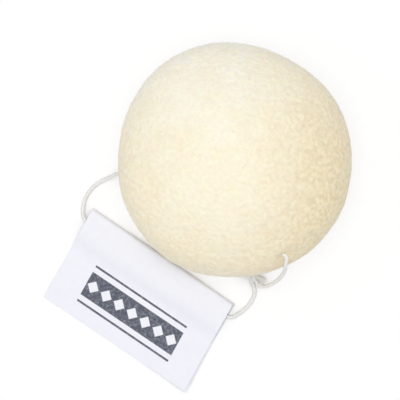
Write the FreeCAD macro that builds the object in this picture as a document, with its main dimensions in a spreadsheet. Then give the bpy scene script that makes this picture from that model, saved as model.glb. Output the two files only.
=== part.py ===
"""Konjac sponge on a cotton hanging cord with a folded paper tag.

Frame: millimetres, +Z up, origin at the middle of the sponge's flat base.
The tag lies in front of the sponge (-Y) with its fold along X.
"""
import FreeCAD
import Part
import Sketcher
import math
import os

doc = FreeCAD.newDocument("konjac_sponge")

# Driving sizes: alias, value in millimetres or degrees, what it measures
SIZES = (
    ("sponge_diameter", 80, "across the bulge of the sponge"),
    ("sponge_height", 42, "flat base to the top of the crown"),
    ("base_diameter", 60, "flat face that the sponge stands on"),
    ("bulge_height", 14, "height of the widest ring above the base"),
    ("shoulder_radius", 20, "rounding between the bulge and the crown"),
    ("cord_diameter", 1.3, "twisted cotton cord"),
    ("channel_clearance", 0.3, "room round the cord in the foam"),
    ("dimple_diameter", 4.6, "foam drawn in where the cord comes out"),
    ("dimple_depth", 2.6, "depth of that dimple along the cord"),
    ("knot_diameter", 4.4, "overhand knot that joins the cord's ends"),
    ("tail_length", 5.0, "trimmed cord end, from the middle of the knot"),
    ("tag_length", 59, "along the fold"),
    ("tag_width", 35, "fold to the free edge"),
    ("tag_skew", 5, "how far the ends are out of square"),
    ("tag_left", -31, "left end of the fold"),
    ("tag_fold", -40.05, "front of the sponge to the fold's outer edge"),
    ("paper_thickness", 0.3, "one layer of label card"),
    ("tunnel_clearance", 0.4, "room above and below the cord in the tag"),
    ("tunnel_width", 7.5, "fold to where the front leaf turns down"),
    ("leaf_bend", 11, "radius of the front leaf's two bends"),
    ("glue_gap", 0.25, "last open height of the tunnel, where the glue starts"),
)

# Sizes that follow from those: the channel's bore and the outside of the tag's fold
BORE_RADIUS = "sizes.cord_diameter / 2 + sizes.channel_clearance"
FOLD_RADIUS = "sizes.paper_thickness + sizes.tunnel_clearance + sizes.cord_diameter / 2"

# The cord's route, chosen point by point from the right mouth round to the left one
RIGHT_ROUTE = (
    (29.9, -16.64, 23.88),
    (32.775, -16.242, 24.764),
    (33.72, -18.56, 24.6),
    (34.9, -20.3, 21.2),
    (35.44, -22.7, 16.6),
    (35.01, -25.56, 11.4),
    (33.58, -28.68, 6.0),
    (31.4, -30.11, 2.9),
    (29.18, -29.26, 2.4),
    (27.17, -28.25, 2.4),
)
LOWER_ROUTE = (
    (27.17, -28.25, 2.4),
    (27.96, -30.27, 1.9),
    (29.89, -31.25, 1.1),
    (31.46, -32.69, 0.8),
    (32.28, -35.26, 0.8),
    (32.17, -38.79, 0.9),
    (30.94, -42.28, 1.1),
    (29.4, -45.0, 1.35),
    (26.6, -45.0, 1.35),
)
LEFT_ROUTE = (
    (-29.4, -45.0, 1.35),
    (-31.6, -45.0, 1.35),
    (-34.19, -41.72, 0.9),
    (-35.33, -38.32, 0.8),
    (-35.2, -33.65, 0.8),
    (-33.49, -29.99, 1.3),
    (-31.81, -27.46, 3.0),
    (-30.56, -25.01, 5.29),
    (-27.6, -24.6, 6.2),
)
# Where the knot's two trimmed ends point: out beside the right strand, and back under the bulge
TAIL_ENDS = ((0.975, 0.14, -0.17), (-0.86, -0.48, -0.16))
# Share of the shorter run that a bend of the cord takes up
ARC_SHARE = 0.45


def fill_sheet():
    sheet = doc.addObject("Spreadsheet::Sheet", "sizes")
    for row, (alias, value, meaning) in enumerate(SIZES, start=1):
        sheet.set(f"A{row}", meaning)
        sheet.set(f"B{row}", str(value))
        sheet.setAlias(f"B{row}", alias)
    doc.recompute()
    return sheet


sizes = fill_sheet()


def vector(point):
    return FreeCAD.Vector(*point)


def along(start, direction):
    """A placement at start whose Z axis looks along direction."""
    return FreeCAD.Placement(start, FreeCAD.Rotation(FreeCAD.Vector(0, 0, 1), direction))


def bind(obj, **expressions):
    for prop, expression in expressions.items():
        obj.setExpression(prop, expression)


def add(kind, name, **links):
    """A new object of the document with its links set."""
    obj = doc.addObject(kind, name)
    for prop, value in links.items():
        setattr(obj, prop, value)
    return obj


def new_sketch(body, name, role):
    """An empty sketch on one of the body's own origin planes."""
    plane = next(p for p in body.Origin.OriginFeatures if p.Role == role)
    sketch = body.newObject("Sketcher::SketchObject", name)
    sketch.AttachmentSupport = [(plane, "")]
    sketch.MapMode = "FlatFace"
    return sketch


def line(sketch, start, end):
    return sketch.addGeometry(Part.LineSegment(FreeCAD.Vector(*start), FreeCAD.Vector(*end)))


def arc(sketch, centre, radius, start_degrees, end_degrees):
    """An arc drawn counter-clockwise from start to end."""
    circle = Part.Circle(FreeCAD.Vector(*centre), FreeCAD.Vector(0, 0, 1), radius)
    start, end = math.radians(start_degrees), math.radians(end_degrees)
    return sketch.addGeometry(Part.ArcOfCircle(circle, start, end))


def rule(sketch, kind, *where):
    sketch.addConstraint(Sketcher.Constraint(kind, *where))


def measure(sketch, name, size, kind, *where):
    """A named dimension of the sketch, bound to an expression."""
    value = float(sketch.evalExpression(size))
    index = sketch.addConstraint(Sketcher.Constraint(kind, *where, value))
    sketch.renameConstraint(index, name)
    sketch.setExpression(f"Constraints.{name}", size)


# Which point of a sketch line or arc a rule is about
START, END, CENTRE = 1, 2, 3
ORIGIN = (-1, START)
UPRIGHT = -2


def make_dome():
    """The bare sponge: a half profile turned about the upright axis."""
    radius, foot = sizes.sponge_diameter / 2, sizes.base_diameter / 2
    bulge, top, shoulder = sizes.bulge_height, sizes.sponge_height, sizes.shoulder_radius
    overhang, rise, inset = radius - foot, top - bulge, radius - shoulder
    rim = (overhang**2 + bulge**2) / (2 * overhang)
    crown = (inset**2 + rise**2 - shoulder**2) / (2 * (rise - shoulder))
    tangent = math.degrees(math.atan2(bulge - top + crown, inset))

    body = doc.addObject("PartDesign::Body", "dome")
    sketch = new_sketch(body, "dome_profile", "XZ_Plane")
    base = line(sketch, (0, 0), (foot, 0))
    under = arc(sketch, (radius - rim, bulge), rim, -math.degrees(math.asin(bulge / rim)), 0)
    over = arc(sketch, (inset, bulge), shoulder, 0, tangent)
    cap = arc(sketch, (0, top - crown), crown, tangent, 90)
    axis = line(sketch, (0, top), (0, 0))
    rule(sketch, "Coincident", base, START, *ORIGIN)
    rule(sketch, "Coincident", base, END, under, START)
    rule(sketch, "Tangent", under, END, over, START)
    rule(sketch, "Tangent", over, END, cap, START)
    rule(sketch, "Coincident", cap, END, axis, START)
    rule(sketch, "Coincident", axis, END, *ORIGIN)
    rule(sketch, "Horizontal", base)
    rule(sketch, "Vertical", axis)
    rule(sketch, "Horizontal", over, CENTRE, over, START)
    rule(sketch, "PointOnObject", cap, CENTRE, UPRIGHT)
    measure(sketch, "foot", "sizes.base_diameter / 2", "DistanceX", *ORIGIN, base, END)
    measure(sketch, "reach", "sizes.sponge_diameter / 2", "DistanceX", *ORIGIN, over, START)
    measure(sketch, "bulge", "sizes.bulge_height", "DistanceY", *ORIGIN, over, START)
    measure(sketch, "shoulder", "sizes.shoulder_radius", "Radius", over)
    measure(sketch, "top", "sizes.sponge_height", "DistanceY", *ORIGIN, axis, START)
    turned = body.newObject("PartDesign::Revolution", "dome_turned")
    turned.Profile = sketch
    turned.ReferenceAxis = (sketch, ["V_Axis"])
    doc.recompute()
    return body


def make_sponge(dome):
    """The dome with the slanting channel that the cord was pulled through."""
    left, right = vector(LEFT_ROUTE[-1]), vector(RIGHT_ROUTE[0])
    way = (right - left).normalize()
    reach = way * sizes.sponge_diameter
    inside = dome.Shape.common(Part.makeLine(left - reach, right + reach))
    mouths = sorted((vertex.Point for vertex in inside.Vertexes), key=lambda point: point.x)

    bore = add("Part::Cylinder", "channel_bore", Placement=along(left - reach, way))
    bind(bore, Radius=BORE_RADIUS, Height="3 * sizes.sponge_diameter")
    cuts = [bore]
    for name, mouth, out in (("left", mouths[0], -way), ("right", mouths[-1], way)):
        start = mouth - out * sizes.dimple_depth
        dimple = add("Part::Cone", f"{name}_dimple", Placement=along(start, out))
        bind(dimple, Height="2 * sizes.dimple_depth", Radius1=BORE_RADIUS,
             Radius2=f"sizes.dimple_diameter - ({BORE_RADIUS})")
        cuts.append(dimple)
    channel = add("Part::MultiFuse", "channel", Shapes=cuts)
    return add("Part::Cut", "sponge_body", Base=dome, Tool=channel)


def rounded_wire(name, points):
    """Straight runs joined by tangent arcs, each as large as its two runs allow."""
    corners = [vector(point) for point in points]
    edges, radii, at = [], [], corners[0]
    for before, corner, after in zip(corners, corners[1:], corners[2:]):
        into, out = (corner - before).normalize(), (after - corner).normalize()
        half_turn = into.getAngle(out) / 2
        setback = ARC_SHARE * min(corner.distanceToPoint(before), corner.distanceToPoint(after))
        radius = setback / math.tan(half_turn)
        start, end = corner - into * setback, corner + out * setback
        inward = (out - into).normalize()
        middle = corner + inward * (radius / math.cos(half_turn) - radius)
        edges.append(Part.LineSegment(at, start).toShape())
        edges.append(Part.Arc(start, middle, end).toShape())
        radii.append(round(radius, 1))
        at = end
    edges.append(Part.LineSegment(at, corners[-1]).toShape())
    print(name, "bend radii", radii)
    return Part.Wire(edges)


def make_stretch(name, points):
    """A free stretch of cord: a round section swept along its route."""
    wire = rounded_wire(name, points)
    route = add("Part::Feature", f"{name}_route", Shape=wire)
    first_run = vector(points[1]) - vector(points[0])
    section = add("Part::Circle", f"{name}_section", Placement=along(vector(points[0]), first_run))
    bind(section, Radius="sizes.cord_diameter / 2")
    edges = [f"Edge{number + 1}" for number in range(len(wire.Edges))]
    tube = add("Part::Sweep", f"{name}_tube", Sections=[section], Spine=(route, edges), Solid=True)
    doc.recompute()
    expected = math.pi * (sizes.cord_diameter / 2) ** 2 * wire.Length
    print(name, "length", round(wire.Length, 1), "volume share", round(tube.Shape.Volume / expected, 4))
    return tube


def make_straight(name, start, end):
    """A stretch that its neighbours hold straight."""
    start, end = vector(start), vector(end)
    rod = add("Part::Cylinder", name, Placement=along(start, end - start))
    rod.Height = start.distanceToPoint(end)
    bind(rod, Radius="sizes.cord_diameter / 2")
    return rod


def make_knot():
    """The knot as a ball with its two trimmed ends."""
    middle = vector(LOWER_ROUTE[0])
    ball = add("Part::Sphere", "knot_ball", Placement=FreeCAD.Placement(middle, FreeCAD.Rotation()))
    bind(ball, Radius="sizes.knot_diameter / 2")
    solids = [ball]
    for number, direction in enumerate(TAIL_ENDS):
        tail = add("Part::Cylinder", f"knot_tail_{number}", Placement=along(middle, vector(direction)))
        bind(tail, Radius="sizes.cord_diameter / 2", Height="sizes.tail_length")
        solids.append(tail)
    return add("Part::MultiFuse", "cord_knot", Shapes=solids)


def make_tag():
    """One strip of card folded round the cord and glued to itself."""
    card, width, turn = sizes.paper_thickness, sizes.tag_width, sizes.tunnel_width
    fold = card + sizes.tunnel_clearance + sizes.cord_diameter / 2
    outer, inner = sizes.leaf_bend + card / 2, sizes.leaf_bend - card / 2
    lean = math.degrees(math.acos(1 - (fold - card) / sizes.leaf_bend))
    flat = turn + 2 * sizes.leaf_bend * math.sin(math.radians(lean))
    lip = math.degrees(math.acos(1 - sizes.glue_gap / (inner + card)))
    glue = flat - (inner + card) * math.sin(math.radians(lip))

    body = doc.addObject("PartDesign::Body", "tag_label")
    sketch = new_sketch(body, "tag_section", "YZ_Plane")
    back = line(sketch, (width, 0), (fold, 0))
    bend = arc(sketch, (fold, fold), fold, 90, 270)
    roof = line(sketch, (fold, 2 * fold), (turn, 2 * fold))
    down = arc(sketch, (turn, 2 * fold - outer), outer, 90 - lean, 90)
    level = arc(sketch, (flat, 2 * card + inner), inner, 270 - lean, 270)
    front = line(sketch, (flat, 2 * card), (width, 2 * card))
    edge = line(sketch, (width, 2 * card), (width, 0))
    rule(sketch, "Tangent", back, END, bend, END)
    rule(sketch, "Tangent", bend, START, roof, START)
    rule(sketch, "Tangent", roof, END, down, END)
    rule(sketch, "Tangent", down, START, level, START)
    rule(sketch, "Tangent", level, END, front, START)
    rule(sketch, "Coincident", front, END, edge, START)
    rule(sketch, "Coincident", edge, END, back, START)
    for flat_line in (back, roof, front):
        rule(sketch, "Horizontal", flat_line)
    rule(sketch, "Vertical", edge)
    measure(sketch, "fold_place", FOLD_RADIUS, "DistanceX", *ORIGIN, bend, CENTRE)
    measure(sketch, "fold_height", FOLD_RADIUS, "DistanceY", *ORIGIN, bend, CENTRE)
    measure(sketch, "fold", FOLD_RADIUS, "Radius", bend)
    measure(sketch, "width", "sizes.tag_width", "DistanceX", *ORIGIN, back, START)
    measure(sketch, "turn", "sizes.tunnel_width", "DistanceX", *ORIGIN, roof, END)
    measure(sketch, "down", "sizes.leaf_bend + sizes.paper_thickness / 2", "Radius", down)
    measure(sketch, "level", "sizes.leaf_bend - sizes.paper_thickness / 2", "Radius", level)
    measure(sketch, "two_leaves", "2 * sizes.paper_thickness", "DistanceY", edge, END, edge, START)

    floor = line(sketch, (glue, card), (fold, card))
    wrap = arc(sketch, (fold, fold), fold - card, 90, 270)
    ceiling = line(sketch, (fold, 2 * fold - card), (turn, 2 * fold - card))
    dip = arc(sketch, (turn, 2 * fold - outer), outer - card, 90 - lean, 90)
    close = arc(sketch, (flat, 2 * card + inner), inner + card, 270 - lean, 270 - lip)
    bead = line(sketch, (glue, card + sizes.glue_gap), (glue, card))
    rule(sketch, "Coincident", wrap, CENTRE, bend, CENTRE)
    rule(sketch, "Coincident", dip, CENTRE, down, CENTRE)
    rule(sketch, "Coincident", close, CENTRE, level, CENTRE)
    rule(sketch, "Tangent", floor, END, wrap, END)
    rule(sketch, "Tangent", wrap, START, ceiling, START)
    rule(sketch, "Tangent", ceiling, END, dip, END)
    rule(sketch, "Tangent", dip, START, close, START)
    rule(sketch, "Coincident", close, END, bead, START)
    rule(sketch, "Coincident", bead, END, floor, START)
    rule(sketch, "Horizontal", floor)
    rule(sketch, "Horizontal", ceiling)
    rule(sketch, "Vertical", bead)
    measure(sketch, "wrap", f"{FOLD_RADIUS} - sizes.paper_thickness", "Radius", wrap)
    measure(sketch, "bead", "sizes.glue_gap", "DistanceY", bead, END, bead, START)

    pad = body.newObject("PartDesign::Pad", "tag_strip")
    pad.Profile = sketch
    pad.UseCustomVector = True
    pad.AlongSketchNormal = False
    skew = math.radians(sizes.tag_skew)
    pad.Direction = FreeCAD.Vector(math.cos(skew), -math.sin(skew), 0)
    bind(pad, Length="sizes.tag_length")
    body.Placement.Rotation = FreeCAD.Rotation(FreeCAD.Vector(0, 0, 1), 180 + sizes.tag_skew)
    body.setExpression("Placement.Base.x", "sizes.tag_left + sizes.tag_length")
    body.setExpression("Placement.Base.y", "sizes.tag_fold")
    return body


knot = make_knot()
right_tube = make_stretch("right_stretch", RIGHT_ROUTE)
lower_tube = make_stretch("lower_stretch", LOWER_ROUTE)
parts = {
    "sponge_body": make_sponge(make_dome()),
    "cord_through_sponge": make_straight("cord_through_sponge", LEFT_ROUTE[-1], RIGHT_ROUTE[0]),
    "cord_right_stretch": add("Part::Cut", "cord_right_stretch", Base=right_tube, Tool=knot),
    "cord_knot": knot,
    "cord_lower_stretch": add("Part::Cut", "cord_lower_stretch", Base=lower_tube, Tool=knot),
    "cord_in_tag": make_straight("cord_in_tag", LOWER_ROUTE[-1], LEFT_ROUTE[0]),
    "cord_left_stretch": make_stretch("left_stretch", LEFT_ROUTE),
    "tag_label": make_tag(),
}
doc.recompute()

for obj in doc.Objects:
    if "Invalid" in obj.State or "Error" in obj.State:
        raise RuntimeError(f"{obj.Name} failed: {obj.State}")
for name, obj in parts.items():
    obj.Label = name
    if obj.Shape.isNull() or not obj.Shape.isValid():
        raise RuntimeError(f"{name} has no valid shape")
    print(name, "solids", len(obj.Shape.Solids), "volume", round(obj.Shape.Volume, 2))

os.makedirs("parts", exist_ok=True)
for name, obj in parts.items():
    obj.Shape.exportStep(f"parts/{name}.step")
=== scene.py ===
import math

import bpy
import numpy as np
from mathutils import Matrix, Vector


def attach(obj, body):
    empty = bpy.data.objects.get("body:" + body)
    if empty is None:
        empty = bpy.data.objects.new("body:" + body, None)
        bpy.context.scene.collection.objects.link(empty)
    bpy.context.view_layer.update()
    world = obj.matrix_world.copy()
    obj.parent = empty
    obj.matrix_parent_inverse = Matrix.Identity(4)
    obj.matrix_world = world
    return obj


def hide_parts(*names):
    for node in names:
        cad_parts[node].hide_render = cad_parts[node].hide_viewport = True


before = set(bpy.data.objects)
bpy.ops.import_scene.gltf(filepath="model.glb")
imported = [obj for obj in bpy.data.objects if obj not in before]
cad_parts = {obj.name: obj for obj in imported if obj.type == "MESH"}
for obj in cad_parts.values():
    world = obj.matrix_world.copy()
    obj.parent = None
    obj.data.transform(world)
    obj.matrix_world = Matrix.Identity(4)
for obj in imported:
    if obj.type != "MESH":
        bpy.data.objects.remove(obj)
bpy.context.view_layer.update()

# The part lies as it was laid out for the picture: sponge on its flat base, tag in front at -Y.
MM = 0.001
SCENE = bpy.context.scene


# Picture: seen from straight above, turned against the fold of the tag.
VIEW_MIDDLE = (-2.06 * MM, -17.04 * MM)
VIEW_TURN = 34.1
VIEW_HEIGHT = 914 * MM
VIEW_DISTANCE = 900 * MM
VIEW_WIDTH = 136.04 * MM

eye = bpy.data.cameras.new("picture_camera")
eye.sensor_width = 36
eye.lens = eye.sensor_width * VIEW_DISTANCE / VIEW_WIDTH
eye.clip_start = 0.05
camera = bpy.data.objects.new("picture_camera", eye)
camera.location = (*VIEW_MIDDLE, VIEW_HEIGHT)
camera.rotation_euler = (0, 0, math.radians(VIEW_TURN))
SCENE.collection.objects.link(camera)
SCENE.camera = camera


# Cord: one length of twisted cotton, from the knot up into the foam, out on the left,
# through the tag and back to the knot.
KNOT = (0.02717, -0.02825, 0.0024)
RIGHT_MOUTH = (0.032775, -0.016242, 0.024764)
LEFT_MOUTH = (-0.03056, -0.02501, 0.00529)
CORD_ROUTE = (
    KNOT,
    (0.02918, -0.02926, 0.0024),
    (0.0314, -0.03011, 0.0029),
    (0.03358, -0.02868, 0.006),
    (0.03501, -0.02556, 0.0114),
    (0.03544, -0.0227, 0.0166),
    (0.0349, -0.0203, 0.0212),
    (0.03372, -0.01856, 0.0246),
    RIGHT_MOUTH,
    (0.0299, -0.01664, 0.02388),
    (-0.0276, -0.0246, 0.0062),
    LEFT_MOUTH,
    (-0.03181, -0.02746, 0.003),
    (-0.03349, -0.02999, 0.0013),
    (-0.0352, -0.03365, 0.0008),
    (-0.03533, -0.03832, 0.0008),
    (-0.03419, -0.04172, 0.0009),
    (-0.0316, -0.045, 0.00135),
    (-0.0294, -0.045, 0.00135),
    (0.0266, -0.045, 0.00135),
    (0.0294, -0.045, 0.00135),
    (0.03094, -0.04228, 0.0011),
    (0.03217, -0.03879, 0.0009),
    (0.03228, -0.03526, 0.0008),
    (0.03146, -0.03269, 0.0008),
    (0.02989, -0.03125, 0.0011),
    (0.02796, -0.03027, 0.0019),
    KNOT,
)
PLIES = 3
PLY_RADIUS = 0.40 * MM
PLY_OFFSET = 0.31 * MM
PLY_PITCH = 3.4 * MM
PLY_SIDES = 9
POINT_SPACING = 0.24 * MM
CURVE_STEPS = 260


def put_in_scene(name, data):
    piece = bpy.data.objects.new(name, data)
    SCENE.collection.objects.link(piece)
    return piece


def spline_points(name, route):
    """Points on the smooth line that the route pulls on, at least POINT_SPACING apart."""
    curve = bpy.data.curves.new(name, "CURVE")
    curve.dimensions = "3D"
    curve.resolution_u = CURVE_STEPS
    spline = curve.splines.new("NURBS")
    spline.points.add(len(route) - 1)
    for point, place in zip(spline.points, route):
        point.co = (*place, 1)
    spline.order_u = 3
    spline.use_endpoint_u = True
    line = put_in_scene(name, curve)
    graph = bpy.context.evaluated_depsgraph_get()
    mesh = bpy.data.meshes.new_from_object(line.evaluated_get(graph))
    every = [vertex.co.copy() for vertex in mesh.vertices]
    bpy.data.objects.remove(line)
    bpy.data.curves.remove(curve)
    bpy.data.meshes.remove(mesh)
    kept = every[:1]
    for place in every[1:-1]:
        if (place - kept[-1]).length >= POINT_SPACING:
            kept.append(place)
    kept.append(every[-1])
    return kept


class Twist:
    """Vertices, faces and fibre coordinates of twisted cotton plies."""

    def __init__(self):
        self.places = []
        self.faces = []
        self.fibre = []

    def lay(self, line, flare=0.0):
        """Winds the plies round a line of points; flare opens them towards the far end."""
        last = len(line) - 1
        tangents = [
            (line[min(i + 1, last)] - line[max(i - 1, 0)]).normalized() for i in range(last + 1)
        ]
        side = tangents[0].orthogonal().normalized()
        run = 0.0
        rings = [[] for _ in range(PLIES)]
        runs = []
        for i, (place, tangent) in enumerate(zip(line, tangents)):
            side = (side - tangent * side.dot(tangent)).normalized()
            up = tangent.cross(side)
            if i:
                run += (place - line[i - 1]).length
            runs.append(run)
            opened = 1 + flare * (i / last) ** 2
            for ply in range(PLIES):
                turn = math.tau * (run / PLY_PITCH + ply / PLIES)
                out = side * math.cos(turn) + up * math.sin(turn)
                heart = place + out * PLY_OFFSET * opened
                ring = []
                for step in range(PLY_SIDES):
                    angle = turn + math.tau * step / PLY_SIDES
                    ring.append(len(self.places))
                    rim = side * math.cos(angle) + up * math.sin(angle)
                    self.places.append(heart + rim * PLY_RADIUS)
                rings[ply].append(ring)
        for ply in range(PLIES):
            for i in range(last):
                here, ahead = rings[ply][i], rings[ply][i + 1]
                for step in range(PLY_SIDES):
                    after = (step + 1) % PLY_SIDES
                    self.faces.append((here[step], here[after], ahead[after], ahead[step]))
                    corners = ((step, i), (step + 1, i), (step + 1, i + 1), (step, i + 1))
                    for share, along in corners:
                        self.fibre.append((share / PLY_SIDES, runs[along] / PLY_PITCH))
            for cap in (tuple(reversed(rings[ply][0])), tuple(rings[ply][-1])):
                self.faces.append(cap)
                self.fibre.extend((step / PLY_SIDES, 0.0) for step in range(PLY_SIDES))

    def piece(self, name):
        mesh = bpy.data.meshes.new(name)
        mesh.from_pydata([tuple(place) for place in self.places], [], self.faces)
        layer = mesh.uv_layers.new(name="fibre")
        for corner, value in zip(layer.data, self.fibre):
            corner.uv = value
        mesh.shade_smooth()
        return put_in_scene(name, mesh)


cord_line = spline_points("cord_line", CORD_ROUTE)
cord_twist = Twist()
cord_twist.lay(cord_line)
cord = cord_twist.piece("cotton_cord_loop")

# Knot: an overhand turn of the same cord pulled tight, with the two cut ends standing out of it.
KNOT_WIDTH = 0.60 * MM
KNOT_RISE = 0.66 * MM
KNOT_TILT = (math.radians(24), math.radians(-14), math.radians(50))
KNOT_STEPS = 90
TAIL_LENGTH = 5.0 * MM
TAIL_ARCH = 0.25 * MM
TAIL_ARCH_PLACE = 0.55
TAIL_FLARE = 0.9
TAIL_ENDS = ((0.975, 0.14, -0.17), (-0.86, -0.48, -0.16))

tilt = Matrix.Translation(KNOT)
for turn, axis in zip(KNOT_TILT, "XYZ"):
    tilt = tilt @ Matrix.Rotation(turn, 4, axis)
overhand = []
for step in range(KNOT_STEPS + 1):
    t = math.tau * step / KNOT_STEPS
    across = KNOT_WIDTH * (math.sin(t) + 2 * math.sin(2 * t))
    deep = KNOT_WIDTH * (math.cos(t) - 2 * math.cos(2 * t))
    overhand.append(tilt @ Vector((across, deep, -KNOT_RISE * math.sin(3 * t))))
knot_twist = Twist()
knot_twist.lay(overhand)
for heading in TAIL_ENDS:
    way = Vector(heading).normalized()
    tail = (
        Vector(KNOT),
        Vector(KNOT) + way * TAIL_LENGTH * TAIL_ARCH_PLACE + Vector((0, 0, TAIL_ARCH)),
        Vector(KNOT) + way * TAIL_LENGTH,
    )
    knot_twist.lay(spline_points("tail_line", tail), flare=TAIL_FLARE)
knot = knot_twist.piece("cotton_cord_knot")


# Sponge: half ball on a flat base, drawn from the same sizes as the solid, in mm, and a little out
# of round. An arc is the place of its middle, across and up, and its radius. A lobe is its number
# round the sponge, its share of the radius and the angle of its top.
BASE_RADIUS = 30.0
RIM_ARC = (25.2, 14.0, 14.8)
SHOULDER_ARC = (20.0, 14.0, 20.0)
CROWN_ARC = (0.0, -7.0, 49.0)
BASE_SOFTNESS = 2.2
FULLNESS = 1.002
LOBES = (
    (1, 0.0140, 93.0),
    (2, 0.0054, -18.6),
    (3, 0.0120, 28.3),
    (4, 0.0067, -23.8),
    (5, 0.0034, -9.5),
)
DIMPLE_WIDTH = 2.5 * MM
DIMPLE_DEPTH = 1.9 * MM
SPHERE_CUTS = 8
CROWN_STEPS = 400
ARC_STEPS = 300
HEEL_STEPS = 60


def arc_points(arc, start, end, count):
    across, height, radius = arc
    for angle in np.linspace(math.radians(start), math.radians(end), count):
        yield across + radius * math.cos(angle), height + radius * math.sin(angle)


def sponge_profile():
    """Half section from the middle of the crown to the middle of the base, in mm."""
    meet = math.degrees(math.atan2(SHOULDER_ARC[1] - CROWN_ARC[1], SHOULDER_ARC[0]))
    heel = math.degrees(math.asin(-RIM_ARC[1] / RIM_ARC[2]))
    heel_soft = heel + math.degrees(BASE_SOFTNESS / RIM_ARC[2])
    points = list(arc_points(CROWN_ARC, 90, meet, CROWN_STEPS))
    points += list(arc_points(SHOULDER_ARC, meet, 0, ARC_STEPS))[1:]
    points += list(arc_points(RIM_ARC, 0, heel_soft, ARC_STEPS))[1:]
    start = np.array(points[-1])
    corner = np.array((BASE_RADIUS, 0.0))
    end = np.array((BASE_RADIUS - BASE_SOFTNESS, 0.0))
    for t in np.linspace(0, 1, HEEL_STEPS)[1:]:
        points.append(tuple((1 - t) ** 2 * start + 2 * t * (1 - t) * corner + t * t * end))
    points += [(r, 0.0) for r in np.linspace(points[-1][0], 0, ARC_STEPS)[1:]]
    return np.array(points)


def make_sponge_blank():
    """A closed ball of even triangles drawn over the half section, dimpled at the cord's mouths."""
    bpy.ops.mesh.primitive_ico_sphere_add(subdivisions=SPHERE_CUTS, radius=1)
    blank = bpy.context.object
    blank.name = "konjac_sponge"
    mesh = blank.data
    place = np.empty(len(mesh.vertices) * 3)
    mesh.vertices.foreach_get("co", place)
    place = place.reshape(-1, 3)
    place /= np.linalg.norm(place, axis=1)[:, None]
    profile = sponge_profile()
    step = np.hypot(*np.diff(profile, axis=0).T)
    skin = np.concatenate(([0], np.cumsum(step * (profile[1:, 0] + profile[:-1, 0]) / 2)))
    share = (1 - place[:, 2]) / 2 * skin[-1]
    radius = np.interp(share, skin, profile[:, 0])
    height = np.interp(share, skin, profile[:, 1])
    angle = np.arctan2(place[:, 1], place[:, 0])
    radius *= FULLNESS
    for order, amount, top in LOBES:
        radius = radius * (1 + amount * np.cos(order * (angle - math.radians(top))))
    drawn = np.stack((radius * np.cos(angle), radius * np.sin(angle), height), axis=1) * MM
    way = np.array(LEFT_MOUTH) - np.array(RIGHT_MOUTH)
    way /= np.linalg.norm(way)
    for mouth, inward in ((RIGHT_MOUTH, way), (LEFT_MOUTH, -way)):
        gap = np.linalg.norm(drawn - np.array(mouth), axis=1)
        drawn += inward * (DIMPLE_DEPTH * np.exp(-(gap / DIMPLE_WIDTH) ** 2))[:, None]
    mesh.vertices.foreach_set("co", drawn.ravel())
    mesh.update()
    mesh.shade_smooth()
    return blank


sponge = make_sponge_blank()


def node(tree, kind, inputs=None, **settings):
    """Adds a node; a value of inputs is a number, a colour or another node's output."""
    made = tree.nodes.new(kind)
    for name, value in settings.items():
        setattr(made, name, value)
    for socket, value in (inputs or {}).items():
        if isinstance(value, bpy.types.NodeSocket):
            tree.links.new(value, made.inputs[socket])
        else:
            made.inputs[socket].default_value = value
    return made


def colour(code):
    """Linear colour of an sRGB hex value."""
    parts = [int(code[i:i + 2], 16) / 255 for i in (1, 3, 5)]
    return (*(p / 12.92 if p <= 0.04045 else ((p + 0.055) / 1.055) ** 2.4 for p in parts), 1)


def new_tree(name, sizes):
    """A Geometry Nodes tree with a geometry input, the named sizes and a material."""
    tree = bpy.data.node_groups.new(name, "GeometryNodeTree")
    tree.interface.new_socket("Geometry", in_out="INPUT", socket_type="NodeSocketGeometry")
    for size in sizes:
        tree.interface.new_socket(size, in_out="INPUT", socket_type="NodeSocketFloat")
    tree.interface.new_socket("Material", in_out="INPUT", socket_type="NodeSocketMaterial")
    tree.interface.new_socket("Geometry", in_out="OUTPUT", socket_type="NodeSocketGeometry")
    return tree, node(tree, "NodeGroupInput").outputs


def grow(piece, tree, **values):
    """Runs a tree on a piece and keeps the result as its plain mesh."""
    modifier = piece.modifiers.new(tree.name, "NODES")
    modifier.node_group = tree
    for item in tree.interface.items_tree:
        if item.in_out == "INPUT" and item.name in values:
            modifier[item.identifier] = values[item.name]
    graph = bpy.context.evaluated_depsgraph_get()
    mesh = bpy.data.meshes.new_from_object(
        piece.evaluated_get(graph), preserve_all_data_layers=True, depsgraph=graph
    )
    piece.modifiers.remove(modifier)
    piece.data = mesh


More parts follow.
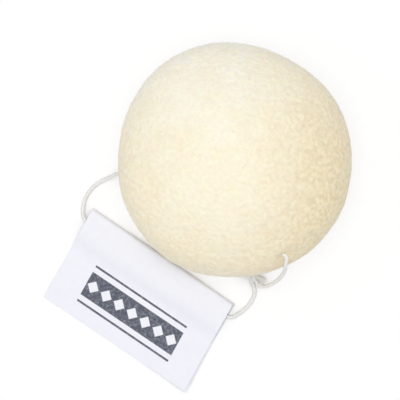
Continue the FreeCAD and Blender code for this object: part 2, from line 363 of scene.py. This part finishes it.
def foam_skin_tree():
    """Slow swells over the crown, a sandy grain all over and open pores sunk into the skin.

    Grain and pores are drawn a little coarser than in real foam, so that they show in a picture.
    """
    tree, given = new_tree(
        "foam_skin",
        ("swell_size", "swell_rise", "grain_size", "grain_depth", "pore_size", "pore_depth"),
    )
    place = node(tree, "GeometryNodeInputPosition").outputs["Position"]
    normal = node(tree, "GeometryNodeInputNormal").outputs["Normal"]
    height = node(tree, "ShaderNodeSeparateXYZ", {0: place}).outputs["Z"]
    above_base = node(
        tree, "ShaderNodeMapRange", {"Value": height, "From Min": 1 * MM, "From Max": 8 * MM}
    )
    scales = {}
    for size in ("swell_size", "grain_size", "pore_size"):
        scale = node(tree, "ShaderNodeMath", {0: 1.0, 1: given[size]}, operation="DIVIDE")
        scales[size] = scale.outputs[0]
    swell = node(
        tree, "ShaderNodeTexNoise",
        {"Vector": place, "Scale": scales["swell_size"], "Detail": 3.0, "Roughness": 0.45},
    )
    swell = node(tree, "ShaderNodeMath", {0: swell.outputs[0], 1: 0.5}, operation="SUBTRACT")
    swell = node(
        tree, "ShaderNodeMath",
        {0: swell.outputs[0], 1: above_base.outputs[0]}, operation="MULTIPLY",
    )
    swell = node(
        tree, "ShaderNodeMath", {0: swell.outputs[0], 1: given["swell_rise"]}, operation="MULTIPLY"
    )
    sand = node(
        tree, "ShaderNodeTexNoise",
        {"Vector": place, "Scale": scales["grain_size"], "Detail": 2.0, "Roughness": 0.55},
    )
    valley = node(
        tree, "ShaderNodeMapRange", {"Value": sand.outputs[0], "From Min": 0.64, "From Max": 0.36}
    )
    cell = node(
        tree, "ShaderNodeTexVoronoi",
        {"Vector": place, "Scale": scales["pore_size"], "Randomness": 1.0},
    )
    chance = node(tree, "ShaderNodeSeparateXYZ", {0: cell.outputs["Color"]}).outputs["X"]
    reach = node(tree, "ShaderNodeMapRange", {"Value": chance, "To Min": 0.1, "To Max": 0.5})
    pit = node(
        tree, "ShaderNodeMapRange",
        {
            "Value": cell.outputs["Distance"],
            "From Max": reach.outputs[0],
            "To Min": 1.0,
            "To Max": 0.0,
        },
    )
    round_pit = node(tree, "ShaderNodeMath", {0: pit.outputs[0], 1: 0.6}, operation="POWER")
    grain = node(
        tree, "ShaderNodeMath",
        {0: valley.outputs[0], 1: given["grain_depth"]}, operation="MULTIPLY",
    )
    depth = node(
        tree, "ShaderNodeMath",
        {0: round_pit.outputs[0], 1: given["pore_depth"], 2: grain.outputs[0]},
        operation="MULTIPLY_ADD",
    )
    rise = node(
        tree, "ShaderNodeMath", {0: swell.outputs[0], 1: depth.outputs[0]}, operation="SUBTRACT"
    )
    shift = node(tree, "ShaderNodeVectorMath", {0: normal, 3: rise.outputs[0]}, operation="SCALE")
    moved = node(
        tree, "GeometryNodeSetPosition", {"Geometry": given["Geometry"], "Offset": shift.outputs[0]}
    )
    # Painted shade: pits and grain valleys are stored so that the material darkens them.
    hollow_shade = node(
        tree, "ShaderNodeMath",
        {0: round_pit.outputs[0], 1: 0.4, 2: valley.outputs[0]}, operation="MULTIPLY_ADD",
    )
    marked = node(
        tree, "GeometryNodeStoreNamedAttribute",
        {"Geometry": moved.outputs[0], "Name": "pore_shade", "Value": hollow_shade.outputs[0]},
        data_type="FLOAT", domain="POINT",
    )
    whole = node(tree, "GeometryNodeRealizeInstances", {"Geometry": marked.outputs[0]})
    skinned = node(
        tree, "GeometryNodeSetMaterial",
        {"Geometry": whole.outputs[0], "Material": given["Material"]},
    )
    node(tree, "NodeGroupOutput", {"Geometry": skinned.outputs[0]})
    return tree


def cotton_fuzz_tree():
    """Short loose fibres that stand off the twisted plies."""
    tree, given = new_tree(
        "cotton_fuzz", ("fibres_per_square_metre", "fibre_length", "fibre_radius")
    )
    scattered = node(
        tree, "GeometryNodeDistributePointsOnFaces",
        {"Mesh": given["Geometry"], "Density": given["fibres_per_square_metre"], "Seed": 11},
    )
    half = node(tree, "ShaderNodeMath", {0: given["fibre_length"], 1: 0.5}, operation="MULTIPLY")
    bend = node(tree, "ShaderNodeCombineXYZ", {"X": 0.0, "Z": half.outputs[0]})
    tip = node(tree, "ShaderNodeCombineXYZ", {"X": half.outputs[0], "Z": given["fibre_length"]})
    fibre = node(
        tree, "GeometryNodeCurveQuadraticBezier",
        {"Resolution": 3, "Start": (0, 0, 0), "Middle": bend.outputs[0], "End": tip.outputs[0]},
    )
    section = node(
        tree, "GeometryNodeCurvePrimitiveCircle", {"Resolution": 3, "Radius": given["fibre_radius"]}
    )
    strand = node(
        tree, "GeometryNodeCurveToMesh",
        {"Curve": fibre.outputs[0], "Profile Curve": section.outputs[0], "Fill Caps": True},
    )
    spin = node(
        tree, "FunctionNodeRandomValue",
        {0: (-0.9, -0.9, -3.14), 1: (0.9, 0.9, 3.14), "Seed": 5}, data_type="FLOAT_VECTOR",
    )
    stood = node(
        tree, "FunctionNodeRotateRotation",
        {0: scattered.outputs["Rotation"], 1: spin.outputs[0]}, rotation_space="LOCAL",
    )
    size = node(tree, "FunctionNodeRandomValue", {2: 0.4, 3: 1.0, "Seed": 8}, data_type="FLOAT")
    planted = node(
        tree, "GeometryNodeInstanceOnPoints",
        {
            "Points": scattered.outputs["Points"],
            "Instance": strand.outputs[0],
            "Rotation": stood.outputs[0],
            "Scale": size.outputs[1],
        },
    )
    joined = node(tree, "GeometryNodeJoinGeometry")
    for part in (planted.outputs[0], given["Geometry"]):
        tree.links.new(part, joined.inputs[0])
    whole = node(tree, "GeometryNodeRealizeInstances", {"Geometry": joined.outputs[0]})
    dressed = node(
        tree, "GeometryNodeSetMaterial",
        {"Geometry": whole.outputs[0], "Material": given["Material"]},
    )
    node(tree, "NodeGroupOutput", {"Geometry": dressed.outputs[0]})
    return tree


def new_material(name):
    material = bpy.data.materials.new(name)
    material.use_nodes = True
    material.node_tree.nodes.clear()
    return material, material.node_tree


# Painted shade: the foam is tinted a darker cream on two sides, the lower and the right one as the
# picture camera sees them, where the light falls off.
# An entry is the way on the table, where it starts, where it is full, and its share there.
PAINTED_SHADE_SIDES = (
    ((0.5606, -0.8281, 0.0), -34 * MM, -4 * MM, 0.55),
    ((0.8281, 0.5606, 0.0), 0.0, 25 * MM, 0.42),
)


def konjac_foam():
    """Moist konjac foam: a dull ivory skin, a little see-through, with painted shade in its pores and
    towards two sides.
    """
    material, tree = new_material("konjac_foam")
    place = node(tree, "ShaderNodeTexCoord").outputs["Object"]
    mottle = node(
        tree, "ShaderNodeTexNoise",
        {"Vector": place, "Scale": 1 / (11 * MM), "Detail": 4.0, "Roughness": 0.55},
    )
    blotch = node(
        tree, "ShaderNodeMapRange", {"Value": mottle.outputs[0], "From Min": 0.35, "From Max": 0.65}
    )
    skin = node(
        tree, "ShaderNodeMix",
        {0: blotch.outputs[0], 6: colour("#FEFAEC"), 7: colour("#FCF4E1")}, data_type="RGBA",
    )
    grain = node(
        tree, "ShaderNodeTexNoise",
        {"Vector": place, "Scale": 1 / (0.9 * MM), "Detail": 3.0, "Roughness": 0.6},
    )
    fleck = node(
        tree, "ShaderNodeMapRange",
        {"Value": grain.outputs[0], "From Min": 0.52, "From Max": 0.72, "To Max": 0.35},
    )
    flecked = node(
        tree, "ShaderNodeMix",
        {0: fleck.outputs[0], 6: skin.outputs[2], 7: colour("#EADCB8")}, data_type="RGBA",
    )
    # Painted shade: how far each point lies towards each of the two darker sides.
    shade_sides = []
    for way, start, end, share in PAINTED_SHADE_SIDES:
        along = node(tree, "ShaderNodeVectorMath", {0: place, 1: way}, operation="DOT_PRODUCT")
        side = node(
            tree, "ShaderNodeMapRange",
            {"Value": along.outputs["Value"], "From Min": start, "From Max": end, "To Max": share},
        )
        shade_sides.append(side.outputs[0])
    # Painted shade of the first side is halved on the crown, where the light falls fullest.
    height = node(tree, "ShaderNodeSeparateXYZ", {0: place}).outputs["Z"]
    shade_below_crown = node(
        tree, "ShaderNodeMapRange",
        {"Value": height, "From Min": 40 * MM, "From Max": 26 * MM, "To Min": 0.5, "To Max": 1.0},
    )
    painted_shade = node(
        tree, "ShaderNodeMath",
        {0: shade_sides[0], 1: shade_below_crown.outputs[0], 2: shade_sides[1]}, operation="MULTIPLY_ADD",
    )
    # Painted shade: the skin is mixed towards a darker cream by that share.
    shaded_skin = node(
        tree, "ShaderNodeMix",
        {0: painted_shade.outputs[0], 6: flecked.outputs[2], 7: colour("#FAEBC9")}, data_type="RGBA",
    )
    # Painted shade in the pits and grain valleys, stronger on the two painted-shade sides.
    pore_shade = node(tree, "ShaderNodeAttribute", attribute_name="pore_shade").outputs["Fac"]
    pore_shade_strength = node(
        tree, "ShaderNodeMapRange",
        {
            "Value": painted_shade.outputs[0],
            "From Min": 0.3,
            "From Max": 0.92,
            "To Min": 0.08,
            "To Max": 0.38,
        },
    )
    shade = node(tree, "ShaderNodeMath", {0: pore_shade, 1: pore_shade_strength.outputs[0]}, operation="MULTIPLY")
    shaded_pores = node(
        tree, "ShaderNodeMix",
        {0: shade.outputs[0], 6: shaded_skin.outputs[2], 7: colour("#C9B88E")}, data_type="RGBA",
    )
    fine = node(
        tree, "ShaderNodeTexNoise", {"Vector": place, "Scale": 1 / (0.35 * MM), "Detail": 2.0}
    )
    bump = node(
        tree, "ShaderNodeBump", {"Strength": 0.5, "Distance": 0.12 * MM, "Height": fine.outputs[0]}
    )
    rough = node(
        tree, "ShaderNodeMapRange", {"Value": grain.outputs[0], "To Min": 0.72, "To Max": 0.92}
    )
    surface = node(
        tree, "ShaderNodeBsdfPrincipled",
        {
            "Base Color": shaded_pores.outputs[2],
            "Roughness": rough.outputs[0],
            "IOR": 1.38,
            "Specular IOR Level": 0.25,
            "Sheen Weight": 0.3,
            "Sheen Roughness": 0.5,
            "Subsurface Weight": 0.3,
            "Subsurface Radius": (1.0, 0.75, 0.45),
            "Subsurface Scale": 1.8 * MM,
            "Normal": bump.outputs[0],
        },
    )
    node(tree, "ShaderNodeOutputMaterial", {"Surface": surface.outputs[0]})
    return material


def bleached_cotton():
    """Twisted bleached cotton: soft white, with fine fibres along each ply."""
    material, tree = new_material("bleached_cotton")
    fibre = node(tree, "ShaderNodeUVMap", uv_map="fibre").outputs[0]
    drawn = node(
        tree, "ShaderNodeMapping",
        {"Vector": fibre, "Scale": (7.0, 2.0, 1.0), "Rotation": (0, 0, 0.35)},
    )
    strands = node(
        tree, "ShaderNodeTexWave",
        {
            "Vector": drawn.outputs[0],
            "Scale": 1.0,
            "Distortion": 2.2,
            "Detail": 2.0,
            "Detail Scale": 2.0,
        },
    )
    place = node(tree, "ShaderNodeTexCoord").outputs["Object"]
    cloud = node(
        tree, "ShaderNodeTexNoise", {"Vector": place, "Scale": 1 / (1.6 * MM), "Detail": 2.0}
    )
    tone = node(
        tree, "ShaderNodeMath",
        {0: strands.outputs["Fac"], 1: cloud.outputs[0]}, operation="MULTIPLY",
    )
    dyed = node(
        tree, "ShaderNodeMix",
        {0: tone.outputs[0], 6: colour("#FFFFFD"), 7: colour("#F6F5F1")}, data_type="RGBA",
    )
    bump = node(
        tree, "ShaderNodeBump",
        {"Strength": 0.5, "Distance": 0.06 * MM, "Height": strands.outputs["Fac"]},
    )
    surface = node(
        tree, "ShaderNodeBsdfPrincipled",
        {
            "Base Color": dyed.outputs[2],
            "Roughness": 0.88,
            "IOR": 1.5,
            "Specular IOR Level": 0.2,
            "Sheen Weight": 0.25,
            "Sheen Roughness": 0.5,
            "Normal": bump.outputs[0],
        },
    )
    node(tree, "ShaderNodeOutputMaterial", {"Surface": surface.outputs[0]})
    return material


# Tag: one strip of label paper folded over the cord, in mm; its leaves are glued past the tunnel.
TAG_LENGTH = 59.0
TAG_LEFT = -31.0
TAG_FOLD = -40.05
TAG_DEPTH = 34.87
TAG_SKEW = math.tan(math.radians(5))
PAPER = 0.27
FOLD_RADIUS = 1.2
FOLD_HEIGHT = 1.35
LEAF_HEIGHT = 0.15
TUNNEL_WIDTH = 7.5
LEAF_BEND = 11.0
GLUE_START = 17.0
FRONT_SHORT = 0.4
FRONT_NARROW = 0.6
LEAF_GAP = 0.6
LEAF_GAP_POWER = 6
CORNER_LIFT = 1.1
RIGHT_LIFT_FROM = 30.0
LEFT_LIFT_TO = 22.0
LEFT_LIFT_SHARE = 0.35
WAVE_RISE = 0.05
WAVE_ALONG = 6.1
WAVE_AWAY = 9.0
TAG_COLUMNS = 90
BACK_ROWS = 50
FOLD_ROWS = 26
BEND_ROWS = 12
FRONT_ROWS = 34

# Print on the front leaf, in mm from its middle and from the fold: a plain band of diamonds
# between two rules.
BAND_HALF_LENGTH = 18.8
BAND_MIDDLE = 22.6
BAND_HALF_WIDTH = 4.3
BAND_BLUR = 0.2
DIAMOND_PITCH = 5.4
DIAMOND_REACH = 2.1
DIAMOND_BLUR = 0.25
RULE_PLACE = 6.6
RULE_HALF_WIDTH = 0.3
RULE_BLUR = 0.15


def tag_section():
    """Middle of the paper from the back leaf's edge over the fold to the front leaf's edge.

    A row is its y and z, the outward y and z there, and 1 on the front leaf or 0 on the back one.
    """
    heart = TAG_FOLD - FOLD_HEIGHT
    far = TAG_FOLD - TAG_DEPTH
    section = [(y, LEAF_HEIGHT, 0.0, -1.0, 0.0) for y in np.linspace(far, heart, BACK_ROWS)]
    for angle in np.linspace(-90, 90, FOLD_ROWS)[1:]:
        c, s = math.cos(math.radians(angle)), math.sin(math.radians(angle))
        section.append((heart + FOLD_RADIUS * c, FOLD_HEIGHT + FOLD_RADIUS * s, c, s, max(0.0, s)))
    roof = FOLD_HEIGHT + FOLD_RADIUS
    shoulder = TAG_FOLD - TUNNEL_WIDTH
    section += [(y, roof, 0.0, 1.0, 1.0) for y in np.linspace(heart, shoulder, BEND_ROWS)[1:]]
    drop = roof - 3 * LEAF_HEIGHT
    sweep = math.acos(1 - drop / (2 * LEAF_BEND))
    for angle in np.linspace(0, sweep, BEND_ROWS)[1:]:
        s, c = math.sin(angle), math.cos(angle)
        section.append((shoulder - LEAF_BEND * s, roof - LEAF_BEND * (1 - c), -s, c, 1.0))
    foot = shoulder - 2 * LEAF_BEND * math.sin(sweep)
    for angle in np.linspace(sweep, 0, BEND_ROWS)[1:]:
        s, c = math.sin(angle), math.cos(angle)
        section.append((foot + LEAF_BEND * s, 3 * LEAF_HEIGHT + LEAF_BEND * (1 - c), -s, c, 1.0))
    leaf = np.linspace(foot, far + FRONT_SHORT, FRONT_ROWS)[1:]
    section += [(y, 3 * LEAF_HEIGHT, 0.0, 1.0, 1.0) for y in leaf]
    return section


def make_tag():
    section = tag_section()
    columns = np.linspace(0, TAG_LENGTH, TAG_COLUMNS)
    places, faces, label = [], [], []
    for outside in (1, -1):
        for y, z, out_y, out_z, front in section:
            away = TAG_FOLD - y
            glued = max(0.0, (away - GLUE_START) / (TAG_DEPTH - GLUE_START))
            for u in columns * (1 - front * FRONT_NARROW / TAG_LENGTH):
                right = max(0.0, (u - RIGHT_LIFT_FROM) / (TAG_LENGTH - RIGHT_LIFT_FROM))
                left = max(0.0, (LEFT_LIFT_TO - u) / LEFT_LIFT_TO)
                lift = CORNER_LIFT * glued ** 2 * (right ** 2 + LEFT_LIFT_SHARE * left ** 2)
                lift += WAVE_RISE * glued * (1 + math.sin(u / WAVE_ALONG + away / WAVE_AWAY))
                lift += front * LEAF_GAP * right ** LEAF_GAP_POWER
                half = outside * PAPER / 2
                places.append((
                    (TAG_LEFT + u + away * TAG_SKEW) * MM,
                    (y + out_y * half) * MM,
                    (z + out_z * half + lift) * MM,
                ))
                label.append((u, away, front if outside > 0 else 0.0))
    rows, cols = len(section), TAG_COLUMNS
    under = rows * cols
    for i in range(rows - 1):
        for j in range(cols - 1):
            a, b = i * cols + j, i * cols + j + 1
            c, d = b + cols, a + cols
            faces.append((a, d, c, b))
            faces.append((a + under, b + under, c + under, d + under))
    edge = list(range(cols))
    edge += [i * cols + cols - 1 for i in range(1, rows)]
    edge += [(rows - 1) * cols + j for j in range(cols - 2, -1, -1)]
    edge += [i * cols for i in range(rows - 2, 0, -1)]
    for here, ahead in zip(edge, edge[1:] + edge[:1]):
        faces.append((here, ahead, ahead + under, here + under))
    mesh = bpy.data.meshes.new("label_tag")
    mesh.from_pydata(places, [], faces)
    label_place = mesh.attributes.new("label_place", "FLOAT_VECTOR", "POINT")
    label_place.data.foreach_set("vector", np.array(label, np.float32).ravel())
    mesh.shade_smooth()
    mesh.set_sharp_from_angle(angle=math.radians(50))
    return put_in_scene("label_tag", mesh)


def label_paper():
    """Smooth label paper: cool white, faintly clouded, with a band of speckled slate ink."""
    material, tree = new_material("label_paper")
    place = node(tree, "ShaderNodeTexCoord").outputs["Object"]
    pulp = node(
        tree, "ShaderNodeTexNoise",
        {"Vector": place, "Scale": 1 / (2.4 * MM), "Detail": 5.0, "Roughness": 0.7},
    )
    sheet = node(
        tree, "ShaderNodeMix",
        {0: pulp.outputs[0], 6: colour("#EFF0F8"), 7: colour("#E8E9F1")}, data_type="RGBA",
    )
    spot = node(tree, "ShaderNodeAttribute", attribute_name="label_place").outputs["Vector"]
    axes = node(tree, "ShaderNodeSeparateXYZ", {0: spot}).outputs
    centred = node(tree, "ShaderNodeMath", {0: axes["X"], 1: TAG_LENGTH / 2}, operation="SUBTRACT")
    across = node(tree, "ShaderNodeMath", {0: centred.outputs[0]}, operation="ABSOLUTE")
    inside = node(
        tree, "ShaderNodeMapRange",
        {
            "Value": across.outputs[0],
            "From Min": BAND_HALF_LENGTH + BAND_BLUR,
            "From Max": BAND_HALF_LENGTH,
        },
    )
    drop = node(tree, "ShaderNodeMath", {0: axes["Y"], 1: BAND_MIDDLE}, operation="SUBTRACT")
    deep = node(tree, "ShaderNodeMath", {0: drop.outputs[0]}, operation="ABSOLUTE")
    band = node(
        tree, "ShaderNodeMapRange",
        {
            "Value": deep.outputs[0],
            "From Min": BAND_HALF_WIDTH + BAND_BLUR,
            "From Max": BAND_HALF_WIDTH,
        },
    )
    pitch = node(
        tree, "ShaderNodeMath", {0: centred.outputs[0], 1: DIAMOND_PITCH}, operation="DIVIDE"
    )
    shifted = node(tree, "ShaderNodeMath", {0: pitch.outputs[0], 1: 0.5}, operation="ADD")
    cell = node(tree, "ShaderNodeMath", {0: shifted.outputs[0]}, operation="FRACT")
    middle = node(tree, "ShaderNodeMath", {0: cell.outputs[0], 1: 0.5}, operation="SUBTRACT")
    wide = node(
        tree, "ShaderNodeMath", {0: middle.outputs[0], 1: DIAMOND_PITCH}, operation="MULTIPLY"
    )
    aside = node(tree, "ShaderNodeMath", {0: wide.outputs[0]}, operation="ABSOLUTE")
    reach = node(tree, "ShaderNodeMath", {0: aside.outputs[0], 1: deep.outputs[0]}, operation="ADD")
    off_dot = node(
        tree, "ShaderNodeMapRange",
        {
            "Value": reach.outputs[0],
            "From Min": DIAMOND_REACH,
            "From Max": DIAMOND_REACH + DIAMOND_BLUR,
        },
    )
    dotted = node(
        tree, "ShaderNodeMath", {0: band.outputs[0], 1: off_dot.outputs[0]}, operation="MULTIPLY"
    )
    off_rule = node(
        tree, "ShaderNodeMath", {0: deep.outputs[0], 1: RULE_PLACE}, operation="SUBTRACT"
    )
    near_rule = node(tree, "ShaderNodeMath", {0: off_rule.outputs[0]}, operation="ABSOLUTE")
    rule = node(
        tree, "ShaderNodeMapRange",
        {
            "Value": near_rule.outputs[0],
            "From Min": RULE_HALF_WIDTH + RULE_BLUR,
            "From Max": RULE_HALF_WIDTH,
        },
    )
    figure = node(
        tree, "ShaderNodeMath", {0: dotted.outputs[0], 1: rule.outputs[0]}, operation="MAXIMUM"
    )
    framed = node(
        tree, "ShaderNodeMath", {0: figure.outputs[0], 1: inside.outputs[0]}, operation="MULTIPLY"
    )
    front = node(tree, "ShaderNodeMath", {0: axes["Z"], 1: 0.5}, operation="GREATER_THAN")
    printed = node(
        tree, "ShaderNodeMath", {0: framed.outputs[0], 1: front.outputs[0]}, operation="MULTIPLY"
    )
    speck = node(
        tree, "ShaderNodeTexNoise",
        {"Vector": place, "Scale": 1 / (0.9 * MM), "Detail": 3.0, "Roughness": 0.7},
    )
    worn = node(
        tree, "ShaderNodeMapRange", {"Value": speck.outputs[0], "From Min": 0.45, "From Max": 0.75}
    )
    ink = node(
        tree, "ShaderNodeMix",
        {0: worn.outputs[0], 6: colour("#4C515F"), 7: colour("#8B8F9C")}, data_type="RGBA",
    )
    face = node(
        tree, "ShaderNodeMix",
        {0: printed.outputs[0], 6: sheet.outputs[2], 7: ink.outputs[2]}, data_type="RGBA",
    )
    tooth = node(
        tree, "ShaderNodeTexNoise", {"Vector": place, "Scale": 1 / (0.3 * MM), "Detail": 3.0}
    )
    bump = node(
        tree, "ShaderNodeBump",
        {"Strength": 0.25, "Distance": 0.03 * MM, "Height": tooth.outputs[0]},
    )
    rough = node(
        tree, "ShaderNodeMapRange", {"Value": pulp.outputs[0], "To Min": 0.5, "To Max": 0.7}
    )
    surface = node(
        tree, "ShaderNodeBsdfPrincipled",
        {
            "Base Color": face.outputs[2],
            "Roughness": rough.outputs[0],
            "IOR": 1.5,
            "Specular IOR Level": 0.35,
            "Normal": bump.outputs[0],
        },
    )
    node(tree, "ShaderNodeOutputMaterial", {"Surface": surface.outputs[0]})
    return material


tag = make_tag()

foam = konjac_foam()
cotton = bleached_cotton()
paper = label_paper()

grow(
    sponge, foam_skin_tree(), swell_size=17 * MM, swell_rise=1.1 * MM, grain_size=1.5 * MM,
    grain_depth=0.22 * MM, pore_size=1.4 * MM, pore_depth=0.15 * MM, Material=foam,
)
fuzz = cotton_fuzz_tree()
for twisted in (cord, knot):
    grow(
        twisted, fuzz, fibres_per_square_metre=6e5, fibre_length=0.5 * MM, fibre_radius=0.014 * MM,
        Material=cotton,
    )
tag.data.materials.append(paper)
for name, finish in (
    ("sponge_body", foam),
    ("cord_through_sponge", cotton),
    ("cord_right_stretch", cotton),
    ("cord_knot", cotton),
    ("cord_lower_stretch", cotton),
    ("cord_in_tag", cotton),
    ("cord_left_stretch", cotton),
    ("tag_label", paper),
):
    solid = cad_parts[name].data
    solid.materials.clear()
    solid.materials.append(finish)

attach(sponge, "sponge")
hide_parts("sponge_body")
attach(cord, "cord_loop")
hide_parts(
    "cord_through_sponge", "cord_right_stretch", "cord_lower_stretch", "cord_in_tag", "cord_left_stretch"
)
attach(knot, "cord_loop")
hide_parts("cord_knot")
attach(tag, "tag")
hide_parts("tag_label")


# Studio: a white sweep under one broad soft lamp overhead, with a faint lamp from the left of the
# picture and an even bright room.
WHITE_SHARE = 0.78
FLOOR_REACH = 3.0
FLOOR_DROP = 0.05 * MM
ROOM_LEVEL = 0.55
LAMP_AIM = (0, -0.01, 0.01)


def seen_by_eye(tree):
    """1 for light that the eye meets straight, mirrored or through a pane; 0 for other light."""
    ray = node(tree, "ShaderNodeLightPath").outputs
    straight = node(
        tree, "ShaderNodeMath",
        {0: ray["Is Camera Ray"], 1: ray["Is Glossy Ray"]}, operation="MAXIMUM",
    )
    seen = node(
        tree, "ShaderNodeMath",
        {0: straight.outputs[0], 1: ray["Is Transmission Ray"]}, operation="MAXIMUM",
    )
    return seen.outputs[0]


def studio_floor():
    """Matt paper sweep that burns out to plain white and still takes the object's shadow."""
    material, tree = new_material("white_sweep")
    place = node(tree, "ShaderNodeTexCoord").outputs["Object"]
    cloud = node(
        tree, "ShaderNodeTexNoise", {"Vector": place, "Scale": 1 / (60 * MM), "Detail": 2.0}
    )
    sheet = node(
        tree, "ShaderNodeMix",
        {0: cloud.outputs[0], 6: colour("#FDFDFD"), 7: colour("#FBFBFB")}, data_type="RGBA",
    )
    seen = seen_by_eye(tree)
    given_back = node(
        tree, "ShaderNodeMix",
        {0: seen, 6: colour("#EEEEEE"), 7: sheet.outputs[2]}, data_type="RGBA",
    )
    matt = node(tree, "ShaderNodeBsdfDiffuse", {"Color": given_back.outputs[2], "Roughness": 0.6})
    open_sky = node(tree, "ShaderNodeAmbientOcclusion", {"Distance": 5 * MM}, samples=8)
    away = node(tree, "ShaderNodeVectorMath", {0: place}, operation="LENGTH").outputs["Value"]
    most = node(
        tree, "ShaderNodeMapRange",
        {
            "Value": away,
            "From Min": 90 * MM,
            "From Max": 400 * MM,
            "To Min": WHITE_SHARE,
            "To Max": 1.0,
        },
    )
    burnt_out = node(
        tree, "ShaderNodeMapRange",
        {"Value": open_sky.outputs["AO"], "From Min": 0.6, "From Max": 0.98, "To Max": most.outputs[0]},
    )
    lit = node(tree, "ShaderNodeMath", {0: seen, 1: burnt_out.outputs[0]}, operation="MULTIPLY")
    white = node(tree, "ShaderNodeEmission", {"Color": colour("#FFFFFF"), "Strength": 1.0})
    shown = node(
        tree, "ShaderNodeMixShader", {0: lit.outputs[0], 1: matt.outputs[0], 2: white.outputs[0]}
    )
    node(tree, "ShaderNodeOutputMaterial", {"Surface": shown.outputs[0]})
    return material


ground = bpy.data.meshes.new("white_sweep")
corners = ((-1, -1), (1, -1), (1, 1), (-1, 1))
ground.from_pydata(
    [(x * FLOOR_REACH, y * FLOOR_REACH, -FLOOR_DROP) for x, y in corners], [], [(0, 1, 2, 3)]
)
ground.materials.append(studio_floor())
floor = put_in_scene("white_sweep", ground)

world = bpy.data.worlds.new("bright_room")
SCENE.world = world
world.use_nodes = True
room = world.node_tree
room.nodes.clear()
level = node(
    room, "ShaderNodeMapRange", {"Value": seen_by_eye(room), "To Min": ROOM_LEVEL, "To Max": 1.0}
)
backdrop = node(
    room, "ShaderNodeBackground", {"Color": colour("#FFFFFF"), "Strength": level.outputs[0]}
)
node(room, "ShaderNodeOutputWorld", {"Surface": backdrop.outputs[0]})


def soft_lamp(name, place, width, power):
    data = bpy.data.lights.new(name, "AREA")
    data.shape = "DISK"
    data.size = width
    data.energy = power
    lamp = put_in_scene(name, data)
    lamp.location = place
    lamp.rotation_euler = (Vector(LAMP_AIM) - Vector(place)).to_track_quat("-Z", "Y").to_euler()


soft_lamp("key_softbox", place=(-0.05, -0.034, 1.08), width=0.8, power=6.1)
soft_lamp("side_softbox", place=(-0.62, -0.42, 0.6), width=0.3, power=0.2)
SCENE.view_settings.view_transform = "Standard"
